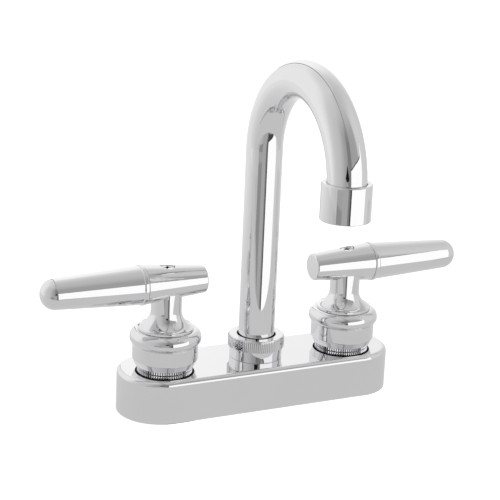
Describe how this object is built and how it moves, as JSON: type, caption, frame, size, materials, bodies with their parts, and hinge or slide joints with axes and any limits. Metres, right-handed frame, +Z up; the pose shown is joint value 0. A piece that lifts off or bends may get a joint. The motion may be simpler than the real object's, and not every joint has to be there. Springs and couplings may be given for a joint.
{
  "type": "bar faucet",
  "caption": "Centreset bar faucet in polished chrome: lever handles on a round-ended base, and a swivelling gooseneck spout with an aerated outlet.",
  "frame": {"origin": "middle of the underside, on the plane of the deck, on the spout's axis", "axes": "+X along the base to the right-hand valve seen from the front, -Y towards the front, where the spout points, +Z up"},
  "size_m": [0.2326, 0.1179, 0.2306],
  "materials": {
    "chrome_plate": "polished chrome plate",
    "raw_brass": "machined, unplated",
    "copper_tube": "drawn copper",
    "stainless_steel": "bright stainless",
    "seal_rubber": "matt black",
    "gasket_rubber": "matt dark grey",
    "slide_plastic": "natural acetal",
    "insert_plastic": "moulded, off white",
    "ceramic_disc": "lapped ceramic"
  },
  "bodies": {
    "base": {"base_cover": "chrome_plate", "deck_gasket": "gasket_rubber", "spout_hub": "raw_brass", "left_mixing_tube": "copper_tube", "right_mixing_tube": "copper_tube", "friction_washer": "slide_plastic", "spout_nut": "chrome_plate", "left_valve_body": "raw_brass", "left_retaining_ring": "chrome_plate", "left_bonnet": "raw_brass", "left_bonnet_o_ring": "seal_rubber", "left_seat_seal": "seal_rubber", "left_fixed_disc": "ceramic_disc", "left_escutcheon": "chrome_plate", "right_valve_body": "raw_brass", "right_retaining_ring": "chrome_plate", "right_bonnet": "raw_brass", "right_bonnet_o_ring": "seal_rubber", "right_seat_seal": "seal_rubber", "right_fixed_disc": "ceramic_disc", "right_escutcheon": "chrome_plate"},
    "left_handle": {"left_handle_hub": "chrome_plate", "left_lever": "chrome_plate", "left_handle_screw": "stainless_steel", "left_stem": "raw_brass", "left_stem_o_ring": "seal_rubber", "left_stem_clip": "stainless_steel", "left_moving_disc": "ceramic_disc"},
    "right_handle": {"right_handle_hub": "chrome_plate", "right_lever": "chrome_plate", "right_handle_screw": "stainless_steel", "right_stem": "raw_brass", "right_stem_o_ring": "seal_rubber", "right_stem_clip": "stainless_steel", "right_moving_disc": "ceramic_disc"},
    "spout_assembly": {"spout": "chrome_plate", "spout_ferrule": "raw_brass", "spout_lower_o_ring": "seal_rubber", "spout_upper_o_ring": "seal_rubber", "outlet_adapter": "raw_brass", "aerator_housing": "chrome_plate", "aerator_washer": "seal_rubber", "aerator_insert": "insert_plastic", "aerator_screen": "stainless_steel"}
  },
  "joints": [
    {"name": "left_handle_turn", "type": "hinge", "parent": "base", "child": "left_handle", "pos_m": [-0.0508, 0, 0], "axis": [0, 0, 1], "range_deg": [0, 90]},
    {"name": "right_handle_turn", "type": "hinge", "parent": "base", "child": "right_handle", "pos_m": [0.0508, 0, 0], "axis": [0, 0, 1], "range_deg": [-90, 0]},
    {"name": "spout_swivel", "type": "hinge", "parent": "base", "child": "spout_assembly", "pos_m": [0, 0, 0], "axis": [0, 0, 1], "continuous": true}
  ]
}
